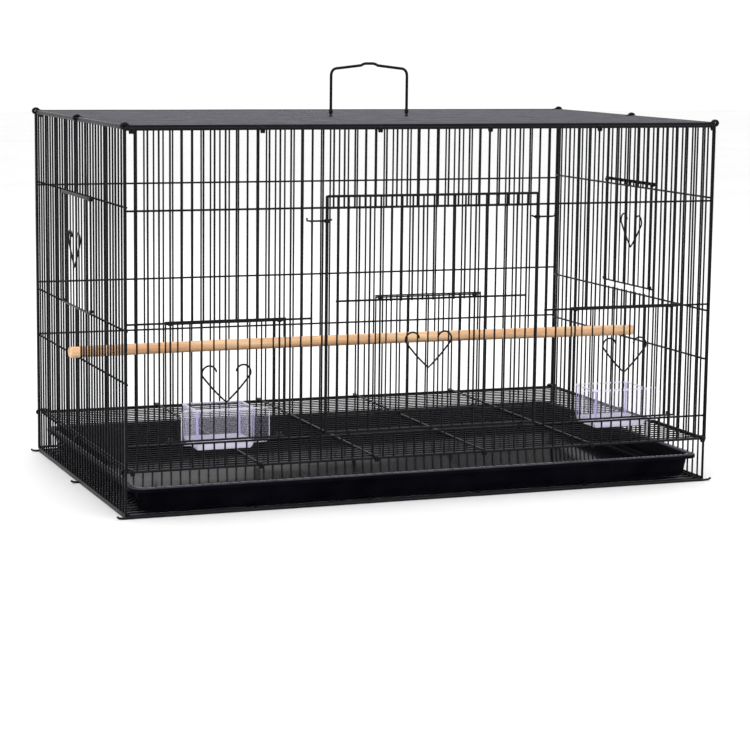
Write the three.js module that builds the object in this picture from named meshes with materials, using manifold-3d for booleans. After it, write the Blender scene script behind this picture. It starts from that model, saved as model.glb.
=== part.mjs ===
// A knock-down wire flight cage for small birds: seven welded wire panels, six doors, a bail handle,
// a slide-out tray, two seed cups and a perch. Millimetres, +Z up, the front faces -Y, and the origin
// is the middle of the footprint at floor level. Round wires are modelled with a square section.
import * as THREE from "three";
import { mergeVertices } from "three/addons/utils/BufferGeometryUtils.js";
import Module from "manifold-3d";

const wasm = await Module();
wasm.setup();

// Driving dimensions of the cage body, over the outer faces of its bars.
const WIDTH = 762;
const DEPTH = 457;
const HEIGHT = 457;
const WIRE = 2; // bar thickness
const GAP = 0.3; // clearance between neighbouring pieces
const LAYER = WIRE + GAP; // distance between two crossing layers of wire
const FRONT_PITCHES = 57;
const SIDE_PITCHES = 34;
const DOOR_REACH = 2 * GAP + 3 * LAYER + WIRE; // the centre door's heart, in front of the front panel
const HOOK_REACH = GAP + WIRE; // the hooks, behind the back panel
const FRONT_SHIFT = (DOOR_REACH - HOOK_REACH) / 2;

// Levels of the horizontal wires, at their middles.
const GRATE_Z = 55;
const SILL_Z = 85;
const MID_Z = 228;
const UPPER_Z = 359;
const PERCH_RAIL_Z = 158;
const SIDE_MID_Z = 220;
const SIDE_UPPER_Z = 363;

// Planes of the panels, at the outer faces of their bars.
const FRONT_Y = -DEPTH / 2 + FRONT_SHIFT;
const BACK_Y = DEPTH / 2 + FRONT_SHIFT;
const SIDE_X = WIDTH / 2;
const PANEL_TOP = HEIGHT - 2 * LAYER;
const SIDE_TOP = HEIGHT - LAYER;

// Openings, as bar numbers of the panel they are in.
const FEEDER_BARS = [
  [4, 14],
  [43, 53],
];
const DOOR_BARS = [18, 39];
const NEST_BARS = [12, 22];
const CROSS_BARS = [0, 12, 23, 34, 45, 57];

// Doors.
const DOOR_BOTTOM = 89;
const DOOR_TOP = 374;
const DOOR_INSET = 3.5; // how far the front door's stiles stand inside the bars beside its opening
const DOOR_PITCHES = 20;
const CENTRE_COLUMNS = [5, 14];
const CENTRE_SILL_Z = 110;
const CENTRE_LINTEL_Z = 248;
const SMALL_DOOR_LAP = 6.4; // how far a small door reaches past its opening on each side
const SMALL_DOOR_HEIGHT = 143;
const SMALL_DOOR_PITCHES = 10;
const ROD = 4; // thickness of a small door's top rod
const HEART_WIDTH = 60;
const HEART_HEIGHT = 44;
const HEART_HOOK = 9.5; // radius of the hooks that its two lobes end in
const HEART_ABOVE = { left_feeder: 46, centre: 53, right_feeder: 59, nest: 52 }; // tip over the door's foot
const NEST_DOOR_LOW = { left: 221, right: 228 };
const LATCH_OUT = 25.5; // reach of a latch outside the front door's stile
const LATCH_IN = 8; // and inside it
const LATCH_BELOW = 15; // latch level under the upper rail

// Tray, cups, perch and handle.
const TRAY_SIDE_GAP = 7.5;
const TRAY_BOTTOM = 2 * LAYER + GAP;
const TRAY_TOP = 35;
const TRAY_LIP = 8;
const TRAY_TAPER = 5;
const TRAY_SHEET = 2.2;
const TRAY_CORNER = 16;
const CUP_WIDTH = 74;
const CUP_DEPTH = 58;
const CUP_BOTTOM = 75;
const CUP_TOP = 124;
const CUP_WALL = 2;
const CUP_ASIDE = 2; // the cups hang a little to the right of their doors' middles
const FLANGE_WIDTH = 109;
const FLANGE_BOTTOM = 82.3;
const FLANGE_CORNER = 7;
const CUP_HOOK_WIDTH = 8;
const CUP_HOOK_SPREAD = 20;
const PERCH_RADIUS = 7;
const PERCH_OVERHANG = 11;
const PERCH_BAR = 17;
const HANDLE_WIDTH = 104;
const HANDLE_RISE = 63;
const HANDLE_CORNER = 9;
const HANDLE_BUMP = 6;
const HANDLE_BUMP_FOOT = 17; // half the width of the bump at its foot
const HANDLE_BUMP_TOP = 7; // and at its top
const HANDLE_LIFT = 0.6; // the handle's feet over the top panel
const HANDLE_WIRE = 3.6;
const HANDLE_X = 3; // middle of the handle, to the right of the cage's middle
const HANDLE_ROW = 17; // long wire of the top panel that the handle is hinged on
const TIP_ROWS = [0, 17, SIDE_PITCHES]; // long wires of the top and base that reach past the side panels
const TOP_TIP = 8;
const BASE_TIP = 11;
const HOOK_DROP = 7;

const frontBar = (i) => -SIDE_X + WIRE / 2 + (i * (WIDTH - WIRE)) / FRONT_PITCHES;
const SIDE_FRONT = FRONT_Y + LAYER;
const SIDE_BACK = BACK_Y - LAYER;
const sideBar = (i) =>
  SIDE_FRONT + WIRE / 2 + (i * (SIDE_BACK - SIDE_FRONT - WIRE)) / SIDE_PITCHES;

const finish = (color, roughness, metalness, extra = {}) => () =>
  new THREE.MeshStandardMaterial({ color, roughness, metalness, ...extra });
const blackWire = finish(0x17171c, 0.35, 0.6);
const blackPlastic = finish(0x0d0d12, 0.15, 0.0);
const clearPlastic = finish(0xcfc8f0, 0.08, 0.0, { transparent: true, opacity: 0.4 });
const paleWood = finish(0xe8b887, 0.6, 0.0);

const part = new THREE.Group();

function addMesh(name, geometry, material, place = new THREE.Matrix4()) {
  const mesh = new THREE.Mesh(geometry, material());
  mesh.name = name;
  mesh.applyMatrix4(place);
  part.add(mesh);
}

// Frames that stand a drawing's x, y and extrusion along three axes of the cage.
const axes = (x, y, z, at) => new THREE.Matrix4().makeBasis(x, y, z).setPosition(...at);
const X = new THREE.Vector3(1, 0, 0);
const Y = new THREE.Vector3(0, 1, 0);
const Z = new THREE.Vector3(0, 0, 1);
const NEG_Y = new THREE.Vector3(0, -1, 0);
// Drawing in X and Z, thickness reaching back from the plane backFace towards -Y.
const upright = (backFace) => axes(X, Z, NEG_Y, [0, backFace, 0]);
// Drawing in Y and Z, thickness reaching from x = face towards +X.
const sideways = (face) => axes(Y, Z, X, [face, 0, 0]);

const extrude = (shape, depth) =>
  new THREE.ExtrudeGeometry(shape, { depth, bevelEnabled: false, curveSegments: 8 });

// A welded grid in one plane: upright bars at the given places, closed by wires below and above, with
// openings whose own sill and lintel wires carry the cut bars. The bars numbered in tips reach past both
// closing wires by tipLength; the first and last bar are always among them.
function lattice({ bars, low, high, openings = [], edge = WIRE, tips = [], tipLength = 0 }) {
  const half = WIRE / 2;
  const holes = [];
  const hole = (a, z0, b, z1) => holes.push(solid(box(a + half, z0, -1, b - half, z1, WIRE + 1)));
  for (let i = 0; i + 1 < bars.length; i++) {
    const over = openings.find((o) => i >= o.from && i < o.to);
    if (!over) {
      hole(bars[i], low + WIRE, bars[i + 1], high - edge);
      continue;
    }
    hole(bars[i], low + WIRE, bars[i + 1], over.sill - half);
    hole(bars[i], over.lintel + half, bars[i + 1], high - edge);
  }
  for (const o of openings) hole(bars[o.from], o.sill + half, bars[o.to], o.lintel - half);
  for (let i = 0; i + 1 < tips.length; i++) {
    const [a, b] = [bars[tips[i]], bars[tips[i + 1]]];
    hole(a, low - tipLength - 1, b, low);
    hole(a, high, b, high + tipLength + 1);
  }
  const last = bars[bars.length - 1];
  const plate = solid(box(bars[0] - half, low - tipLength, 0, last + half, high + tipLength, WIRE));
  return geometryOf(wasm.Manifold.difference([plate, ...holes]));
}

const spread = (count, place) => Array.from({ length: count + 1 }, (_, i) => place(i));

// A wire bent in one plane, from the points along its middle.
function bentWire(points, width, depth) {
  const side = (sign) =>
    points.map((p, i) => {
      const before = points[Math.max(i - 1, 0)];
      const after = points[Math.min(i + 1, points.length - 1)];
      const d1 = p.clone().sub(before).normalize();
      const d2 = after.clone().sub(p).normalize();
      const d = (i === 0 ? d2 : i === points.length - 1 ? d1 : d1.clone().add(d2)).normalize();
      const n = new THREE.Vector2(-d.y, d.x);
      const atEnd = i === 0 || i === points.length - 1;
      const turn = atEnd ? 1 : Math.max(0.5, d.dot(d1));
      return p.clone().addScaledVector(n, (sign * width) / 2 / turn);
    });
  return extrude(new THREE.Shape([...side(-1), ...side(1).reverse()]), depth);
}

const box = (x0, y0, z0, x1, y1, z1) =>
  new THREE.BoxGeometry(x1 - x0, y1 - y0, z1 - z0).translate((x0 + x1) / 2, (y0 + y1) / 2, (z0 + z1) / 2);

const wireBox = (name, ...limits) => addMesh(name, box(...limits), blackWire);

function solid(geometry) {
  const bare = geometry.clone();
  bare.deleteAttribute("normal");
  bare.deleteAttribute("uv");
  const merged = mergeVertices(bare, 1e-4);
  const vertProperties = merged.attributes.position.array;
  const triVerts = new Uint32Array(merged.index.array);
  return new wasm.Manifold(new wasm.Mesh({ numProp: 3, vertProperties, triVerts }));
}

function geometryOf(manifold) {
  const mesh = manifold.getMesh();
  const geometry = new THREE.BufferGeometry();
  geometry.setAttribute("position", new THREE.BufferAttribute(new Float32Array(mesh.vertProperties), 3));
  geometry.setIndex(new THREE.BufferAttribute(new Uint32Array(mesh.triVerts), 1));
  return geometry;
}

// Front panel: its bars end at the grate's level, above the tray's opening.
function frontPanel() {
  const openings = [
    { from: FEEDER_BARS[0][0], to: FEEDER_BARS[0][1], sill: SILL_Z, lintel: MID_Z },
    { from: DOOR_BARS[0], to: DOOR_BARS[1], sill: SILL_Z, lintel: UPPER_Z },
    { from: FEEDER_BARS[1][0], to: FEEDER_BARS[1][1], sill: SILL_Z, lintel: MID_Z },
  ];
  const bars = spread(FRONT_PITCHES, frontBar);
  const grid = lattice({ bars, low: GRATE_Z - WIRE / 2, high: PANEL_TOP, openings });
  addMesh("front_panel", grid, blackWire, upright(FRONT_Y + WIRE));
  const rail = (name, z, x0, x1) =>
    wireBox(name, x0, FRONT_Y + LAYER, z - WIRE / 2, x1, FRONT_Y + LAYER + WIRE, z + WIRE / 2);
  const end = SIDE_X - LAYER;
  rail("front_rail_upper", UPPER_Z, -end, end);
  rail("front_rail_left_mid", MID_Z, -end, frontBar(DOOR_BARS[0] - 1) + WIRE);
  rail("front_rail_right_mid", MID_Z, frontBar(DOOR_BARS[1] + 1) - WIRE, end);
  rail("front_rail_left_low", SILL_Z, -end, frontBar(DOOR_BARS[0] - 1) + WIRE);
  rail("front_rail_right_low", SILL_Z, frontBar(DOOR_BARS[1] + 1) - WIRE, end);
}

function backPanel() {
  const bars = spread(FRONT_PITCHES, frontBar);
  const grid = lattice({ bars, low: LAYER + GAP + WIRE, high: PANEL_TOP });
  addMesh("back_panel", grid, blackWire, upright(BACK_Y));
  const end = SIDE_X - LAYER;
  const inner = BACK_Y - LAYER;
  const levels = { upper: UPPER_Z, mid: MID_Z + 2, perch: PERCH_RAIL_Z + LAYER };
  for (const [name, z] of Object.entries(levels))
    wireBox("back_rail_" + name, -end, inner - WIRE, z - WIRE / 2, end, inner, z + WIRE / 2);
}

function sidePanel(name, sign) {
  const openings = [{ from: NEST_BARS[0], to: NEST_BARS[1], sill: SIDE_MID_Z, lintel: SIDE_UPPER_Z }];
  const grid = lattice({ bars: spread(SIDE_PITCHES, sideBar), low: LAYER, high: SIDE_TOP, openings });
  const face = (sign * (2 * SIDE_X - WIRE)) / 2;
  addMesh(name + "_panel", grid, blackWire, sideways(face - WIRE / 2));
  const middle = sign * (SIDE_X - WIRE / 2 - LAYER);
  const levels = { upper: SIDE_UPPER_Z, mid: SIDE_MID_Z, perch: PERCH_RAIL_Z };
  for (const [level, z] of Object.entries(levels)) {
    const y0 = SIDE_FRONT;
    wireBox(
      name + "_rail_" + level,
      middle - WIRE / 2, y0, z - WIRE / 2,
      middle + WIRE / 2, SIDE_BACK, z + WIRE / 2,
    );
  }
}

// A wire from front to back whose ends hook down over the front and back panels.
function crossWire(name, x, z, drop) {
  const front = FRONT_Y - GAP - WIRE / 2;
  const back = BACK_Y + GAP + WIRE / 2;
  const points = [
    new THREE.Vector2(front, z - drop),
    new THREE.Vector2(front, z),
    new THREE.Vector2(back, z),
    new THREE.Vector2(back, z - drop),
  ];
  addMesh(name, bentWire(points, WIRE, WIRE), blackWire, sideways(x - WIRE / 2));
}

// Cross wires stand beside a bar of the front panel, on the side towards the middle.
const crossX = (i) => {
  const x = frontBar(CROSS_BARS[i]);
  const inward = -Math.sign(x);
  const atEnd = i === 0 || i === CROSS_BARS.length - 1;
  return x + inward * (atEnd ? 2 * LAYER + GAP : LAYER);
};

const longWires = (count, from, to) => spread(count, (i) => from + (i * (to - from)) / count);

// A panel of long wires lying from side to side: a grid whose bars are turned to run along X.
function longGrid(name, rows, reach, z, tips = [], tipLength = 0) {
  const grid = lattice({ bars: rows, low: -reach, high: reach, tips, tipLength });
  const lying = axes(Y, X, new THREE.Vector3(0, 0, -1), [0, 0, z + WIRE / 2]);
  addMesh(name, grid, blackWire, lying);
}

function topPanel() {
  const rows = longWires(SIDE_PITCHES, FRONT_Y + WIRE / 2, BACK_Y - WIRE / 2);
  longGrid("top_panel", rows, SIDE_X, HEIGHT - WIRE / 2, TIP_ROWS, TOP_TIP);
  CROSS_BARS.forEach((_, i) =>
    crossWire("top_cross_wire_" + (i + 1), crossX(i), HEIGHT - WIRE / 2 - LAYER, HOOK_DROP));
}

function grate() {
  const inset = 2 * LAYER + WIRE;
  const rows = longWires(SIDE_PITCHES - 1, FRONT_Y + inset, BACK_Y - inset);
  longGrid("grate", rows, SIDE_X - LAYER, GRATE_Z);
  CROSS_BARS.forEach((_, i) =>
    crossWire("grate_cross_wire_" + (i + 1), crossX(i), GRATE_Z + LAYER, HOOK_DROP));
}

function basePanel() {
  const rows = longWires(SIDE_PITCHES, FRONT_Y + WIRE / 2, BACK_Y - WIRE / 2);
  longGrid("base_panel", rows, SIDE_X, WIRE / 2, TIP_ROWS, BASE_TIP);
  CROSS_BARS.forEach((_, i) => {
    const x = crossX(i);
    wireBox(
      "base_cross_wire_" + (i + 1),
      x - WIRE / 2, FRONT_Y, LAYER,
      x + WIRE / 2, BACK_Y, LAYER + WIRE,
    );
  });
}

// A heart bent from one wire: two straight sides rise from its point, and each ends in a hook that
// turns in and stays open.
function heart(name, place) {
  const centre = new THREE.Vector2(HEART_WIDTH / 2 - HEART_HOOK, HEART_HEIGHT - HEART_HOOK);
  const start = Math.atan2(centre.y, centre.x) - Math.acos(HEART_HOOK / centre.length());
  const end = 0.88 * Math.PI;
  const steps = 12;
  const right = spread(steps, (i) => {
    const turn = end + ((start - end) * i) / steps;
    return new THREE.Vector2(centre.x + HEART_HOOK * Math.cos(turn), centre.y + HEART_HOOK * Math.sin(turn));
  });
  const left = right.map((p) => new THREE.Vector2(-p.x, p.y)).reverse();
  const points = [...right, new THREE.Vector2(0, 0), ...left];
  addMesh(name, bentWire(points, WIRE, WIRE), blackWire, place);
}

// Bars of a small door that covers the opening between two bars of its panel.
const doorBars = (from, to) => {
  const width = to - from + 2 * SMALL_DOOR_LAP;
  return spread(SMALL_DOOR_PITCHES, (i) => from - SMALL_DOOR_LAP + (width * i) / SMALL_DOOR_PITCHES);
};

// A small sliding door: a grid under a thick top rod, and its heart one layer further out.
function smallFrontDoor(name, from, to, low, backFace) {
  const grid = lattice({
    bars: doorBars(from, to),
    low,
    high: low + SMALL_DOOR_HEIGHT,
    edge: ROD,
  });
  addMesh(name + "_door", grid, blackWire, upright(backFace));
  const at = [(from + to) / 2, backFace - LAYER, low + HEART_ABOVE[name]];
  heart(name + "_heart", axes(X, Z, NEG_Y, at));
}

function feederDoors() {
  const backFace = FRONT_Y - GAP;
  FEEDER_BARS.forEach(([from, to], i) => {
    const name = ["left", "right"][i] + "_feeder";
    smallFrontDoor(name, frontBar(from), frontBar(to), SILL_Z + 3, backFace);
  });
}

// Front door: its rails lie between the front panel and its own bars.
function frontDoor() {
  const from = frontBar(DOOR_BARS[0]) + DOOR_INSET;
  const to = frontBar(DOOR_BARS[1]) - DOOR_INSET;
  const bars = spread(DOOR_PITCHES, (i) => from + (i * (to - from)) / DOOR_PITCHES);
  const openings = [
    { from: CENTRE_COLUMNS[0], to: CENTRE_COLUMNS[1], sill: CENTRE_SILL_Z, lintel: CENTRE_LINTEL_Z },
  ];
  const railFace = FRONT_Y - 2 * GAP;
  const gridFace = railFace - LAYER;
  const grid = lattice({ bars, low: DOOR_BOTTOM, high: DOOR_TOP, openings });
  addMesh("front_door", grid, blackWire, upright(gridFace));
  // Each rail runs between the same numbers of bars in from the two stiles.
  const rails = { upper: [UPPER_Z, 0], middle: [CENTRE_LINTEL_Z, 1], low: [CENTRE_SILL_Z, 0] };
  for (const [name, [z, inward]] of Object.entries(rails))
    wireBox(
      "front_door_rail_" + name,
      bars[inward] - WIRE / 2, railFace - WIRE, z - WIRE / 2,
      bars[DOOR_PITCHES - inward] + WIRE / 2, railFace, z + WIRE / 2,
    );
  const latchZ = UPPER_Z - LATCH_BELOW;
  const latch = (name, x0, x1) =>
    wireBox(name, x0, railFace - WIRE, latchZ - WIRE / 2, x1, railFace, latchZ + WIRE / 2);
  latch("front_latch_left", from - LATCH_OUT, from + LATCH_IN);
  latch("front_latch_right", to - LATCH_IN, to + LATCH_OUT);
  const [first, last] = CENTRE_COLUMNS;
  smallFrontDoor("centre", bars[first], bars[last], CENTRE_SILL_Z + 2, gridFace - LAYER);
}

function nestDoor(name, sign) {
  const [from, to] = NEST_BARS.map(sideBar);
  const low = NEST_DOOR_LOW[name];
  const grid = lattice({ bars: doorBars(from, to), low, high: low + SMALL_DOOR_HEIGHT, edge: ROD });
  const layerMiddle = (n) => sign * (SIDE_X - WIRE / 2 + n * LAYER) - WIRE / 2;
  addMesh(name + "_nest_door", grid, blackWire, sideways(layerMiddle(1)));
  const at = [layerMiddle(2), (from + to) / 2, low + HEART_ABOVE.nest];
  heart(name + "_nest_heart", axes(Y, Z, X, at));
}

// The handle stands on eyes round one long wire of the top panel, and has a low bump in its middle.
function handle() {
  const rows = longWires(SIDE_PITCHES, FRONT_Y + WIRE / 2, BACK_Y - WIRE / 2);
  const half = HANDLE_WIDTH / 2;
  const foot = HEIGHT + HANDLE_LIFT;
  const top = HEIGHT + HANDLE_RISE - HANDLE_WIRE / 2;
  const [cx, cz] = [half - HANDLE_CORNER, top - HANDLE_CORNER];
  const shoulder = spread(4, (i) => {
    const turn = (Math.PI / 2) * (i / 4);
    return new THREE.Vector2(cx + HANDLE_CORNER * Math.cos(turn), cz + HANDLE_CORNER * Math.sin(turn));
  });
  const bump = [
    new THREE.Vector2(HANDLE_BUMP_FOOT, top),
    new THREE.Vector2(HANDLE_BUMP_TOP, top + HANDLE_BUMP),
  ];
  const right = [new THREE.Vector2(half, foot), ...shoulder, ...bump];
  const left = right.map((p) => new THREE.Vector2(-p.x, p.y)).reverse();
  const grip = bentWire([...right, ...left], HANDLE_WIRE, HANDLE_WIRE);
  addMesh("handle", grip, blackWire, axes(X, Z, NEG_Y, [HANDLE_X, rows[HANDLE_ROW] + HANDLE_WIRE / 2, 0]));
}

function roundedRectangle(x0, y0, x1, y1, r) {
  const path = new THREE.Shape();
  path.moveTo(x0 + r, y0);
  path.lineTo(x1 - r, y0);
  path.absarc(x1 - r, y0 + r, r, -Math.PI / 2, 0, false);
  path.lineTo(x1, y1 - r);
  path.absarc(x1 - r, y1 - r, r, 0, Math.PI / 2, false);
  path.lineTo(x0 + r, y1);
  path.absarc(x0 + r, y1 - r, r, Math.PI / 2, Math.PI, false);
  path.lineTo(x0, y0 + r);
  path.absarc(x0 + r, y0 + r, r, Math.PI, 1.5 * Math.PI, false);
  return path;
}

// A closed skin through rounded rectangles of falling or rising size, one at each [inset, z].
function rectangleLoft(x0, y0, x1, y1, rings) {
  const positions = [];
  const outlines = rings.map(([inset, z]) => {
    const shape = roundedRectangle(
      x0 + inset, y0 + inset, x1 - inset, y1 - inset, Math.max(TRAY_CORNER - inset, 4),
    );
    return shape.extractPoints(5).shape.slice(0, -1).map((p) => new THREE.Vector3(p.x, p.y, z));
  });
  const quad = (a, b, c, d) => positions.push(a, b, c, a, c, d);
  for (let k = 0; k + 1 < outlines.length; k++) {
    const low = outlines[k];
    const high = outlines[k + 1];
    const n = low.length;
    low.forEach((p, i) => quad(p, low[(i + 1) % n], high[(i + 1) % n], high[i]));
  }
  const cap = (ring, up) => {
    for (let i = 1; i + 1 < ring.length; i++)
      positions.push(...(up ? [ring[0], ring[i], ring[i + 1]] : [ring[0], ring[i + 1], ring[i]]));
  };
  cap(outlines[0], false);
  cap(outlines[outlines.length - 1], true);
  return new THREE.BufferGeometry().setFromPoints(positions);
}

// Tray: sloped walls and a flat lip turned outwards.
function tray() {
  const x = SIDE_X - TRAY_SIDE_GAP;
  const y0 = FRONT_Y;
  const y1 = BACK_Y - 2 * LAYER - WIRE;
  const wall = TRAY_LIP;
  const outer = [
    [wall + TRAY_TAPER, TRAY_BOTTOM],
    [wall, TRAY_TOP - TRAY_SHEET],
    [0, TRAY_TOP - TRAY_SHEET],
    [0, TRAY_TOP],
  ];
  const inner = [
    [wall + TRAY_TAPER + TRAY_SHEET, TRAY_BOTTOM + TRAY_SHEET],
    [wall + TRAY_SHEET, TRAY_TOP + 1],
  ];
  const shell = solid(rectangleLoft(-x, y0, x, y1, outer));
  const hollow = solid(rectangleLoft(-x, y0, x, y1, inner));
  addMesh("tray", geometryOf(shell.subtract(hollow)), blackPlastic);
}

// Cup: an open trough behind a wide flange, hung by two hooks on the low rail inside its feeder door.
function cup(name, [from, to]) {
  const middle = (frontBar(from) + frontBar(to)) / 2 + CUP_ASIDE;
  const railBack = FRONT_Y + LAYER + WIRE;
  const front = railBack + GAP;
  const half = CUP_WIDTH / 2;
  const trough = box(middle - half, front, CUP_BOTTOM, middle + half, front + CUP_DEPTH, CUP_TOP);
  const inside = half - CUP_WALL;
  const hollow = box(
    middle - inside, front + CUP_WALL, CUP_BOTTOM + CUP_WALL,
    middle + inside, front + CUP_DEPTH - CUP_WALL, CUP_TOP + 1,
  );
  const wing = FLANGE_WIDTH / 2;
  const c = FLANGE_CORNER;
  const outline = new THREE.Shape([
    new THREE.Vector2(middle - wing + c, FLANGE_BOTTOM),
    new THREE.Vector2(middle + wing - c, FLANGE_BOTTOM),
    new THREE.Vector2(middle + wing, FLANGE_BOTTOM + c),
    new THREE.Vector2(middle + wing, CUP_TOP),
    new THREE.Vector2(middle - wing, CUP_TOP),
    new THREE.Vector2(middle - wing, FLANGE_BOTTOM + c),
  ]);
  const flange = extrude(outline, CUP_WALL).applyMatrix4(upright(front + CUP_WALL));
  const hook = (x) => {
    const low = SILL_Z + WIRE / 2 + GAP;
    const side = CUP_HOOK_WIDTH / 2;
    return solid(box(x - side, front - LAYER, low, x + side, front + CUP_WALL / 2, low + WIRE));
  };
  const shell = solid(trough)
    .add(solid(flange))
    .add(hook(middle - CUP_HOOK_SPREAD))
    .add(hook(middle + CUP_HOOK_SPREAD))
    .subtract(solid(hollow));
  addMesh(name, geometryOf(shell), clearPlastic);
}

// Perch: a dowel across the cage on the perch rails, each end notched over one bar of the side panel.
function perch() {
  const length = WIDTH + 2 * PERCH_OVERHANG;
  const dowel = new THREE.CylinderGeometry(PERCH_RADIUS, PERCH_RADIUS, length, 24);
  dowel.rotateZ(Math.PI / 2);
  dowel.rotateX(Math.PI / 24);
  const bar = sideBar(PERCH_BAR);
  const z = PERCH_RAIL_Z + WIRE / 2 + GAP + PERCH_RADIUS;
  dowel.translate(0, bar, z);
  const notchHalf = WIRE / 2 + GAP;
  const notch = (sign) => {
    const ends = [sign * (SIDE_X - WIRE - GAP), sign * (length / 2 + 1)].sort((a, b) => a - b);
    return solid(
      box(ends[0], bar - notchHalf, z - PERCH_RADIUS - 1, ends[1], bar + notchHalf, z + PERCH_RADIUS + 1),
    );
  };
  addMesh("perch", geometryOf(solid(dowel).subtract(notch(-1)).subtract(notch(1))), paleWood);
}

frontPanel();
backPanel();
sidePanel("left", -1);
sidePanel("right", 1);
topPanel();
grate();
basePanel();
feederDoors();
frontDoor();
nestDoor("left", -1);
nestDoor("right", 1);
handle();
tray();
cup("left_cup", FEEDER_BARS[0]);
cup("right_cup", FEEDER_BARS[1]);
perch();

export default part;
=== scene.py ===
# A wire flight cage on its own base: round wires with their hooks and eyes, six wire doors, five
# of them with a heart pull, a glossy tray, two clear cups and a wooden perch, built round the frame
# from model.glb. Metres.
import math
import random

import bmesh
import bpy
from mathutils import Matrix, Vector


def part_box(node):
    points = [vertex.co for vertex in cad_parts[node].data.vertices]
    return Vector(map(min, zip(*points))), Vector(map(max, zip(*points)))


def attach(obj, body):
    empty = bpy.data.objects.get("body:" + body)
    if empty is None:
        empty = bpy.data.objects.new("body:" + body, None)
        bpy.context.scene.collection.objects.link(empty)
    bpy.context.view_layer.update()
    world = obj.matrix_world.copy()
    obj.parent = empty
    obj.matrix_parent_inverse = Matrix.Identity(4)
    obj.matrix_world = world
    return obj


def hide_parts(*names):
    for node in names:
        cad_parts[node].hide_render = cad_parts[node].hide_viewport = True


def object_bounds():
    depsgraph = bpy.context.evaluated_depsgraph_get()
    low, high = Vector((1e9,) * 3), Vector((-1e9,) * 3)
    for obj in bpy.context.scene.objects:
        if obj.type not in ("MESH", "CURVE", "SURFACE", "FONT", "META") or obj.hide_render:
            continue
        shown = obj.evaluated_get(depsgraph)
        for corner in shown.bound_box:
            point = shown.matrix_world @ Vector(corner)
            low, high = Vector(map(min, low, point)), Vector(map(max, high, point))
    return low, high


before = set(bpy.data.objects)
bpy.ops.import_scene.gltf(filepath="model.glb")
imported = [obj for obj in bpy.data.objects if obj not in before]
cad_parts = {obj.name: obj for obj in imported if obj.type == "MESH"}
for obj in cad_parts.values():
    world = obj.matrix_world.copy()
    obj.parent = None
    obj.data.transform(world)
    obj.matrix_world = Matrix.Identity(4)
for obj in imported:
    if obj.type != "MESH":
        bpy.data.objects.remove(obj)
cad_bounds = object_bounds()

MM = 0.001

# Wire radii.
BAR = 1.15 * MM
EDGE = 1.6 * MM  # the wires round the edge of a panel
DOOR_BAR = 0.95 * MM
FLOOR_BAR = 0.9 * MM  # the long wires of the grate
POST = 1.9 * MM  # the uprights at the corners of the cage and at the sides of the front door
CROWN = 2.2 * MM  # the top wires of the front and back panels
RAIL = 1.25 * MM
DOOR_ROD = 1.25 * MM
THIN_ROD = 0.9 * MM  # the top rods of the centre door
HEART_WIRE = 1.1 * MM
RING_WIRE = 0.8 * MM
COIL_WIRE = 1.35 * MM
CURL_WIRE = 1.7 * MM  # the coils on the side edges of the top panel
LATCH_WIRE = 1.15 * MM
HANDLE_WIRE = 1.8 * MM

# Windings of the cross wires: half depth, half height and wire radius.
FRONT_WINDING = (2.6 * MM, 3.1 * MM, 1.4 * MM)
BACK_WINDING = (1.85 * MM, 3.0 * MM, 1.1 * MM)

LAYER = 2.3 * MM  # distance between two crossing layers of wire
BAR_END = 1.6 * MM  # how far a cut bar runs past the rail that it is welded to
TOP_LIFT = 1.5 * MM  # how far the front and back panels' top wires are pushed up against the top panel
WANDER = 0.1 * MM  # how far a drawn wire strays from straight
FLOOR_GAP = 1.5 * WANDER  # keeps a straying wire off the floor
SIDES = 12  # corners of a wire's section

# Grid counts and openings, as bar numbers of the panel they are in.
FRONT_PITCHES = 57
SIDE_PITCHES = 34
DOOR_PITCHES = 20
SMALL_DOOR_PITCHES = 10
CROSS_WIRES = 6
FEEDERS = {"left": (4, 14), "right": (43, 53)}
DOOR_BARS = (18, 39)
HINGE_GAPS = (20, 28, 37)  # the front door's hinge eyes lie between these bars and the next
NEST_BARS = (12, 22)
CENTRE_COLUMNS = (5, 14)
TIP_ROWS = (0, 17, 34)

random.seed(11)


# ---------------------------------------------------------------- materials


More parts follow.
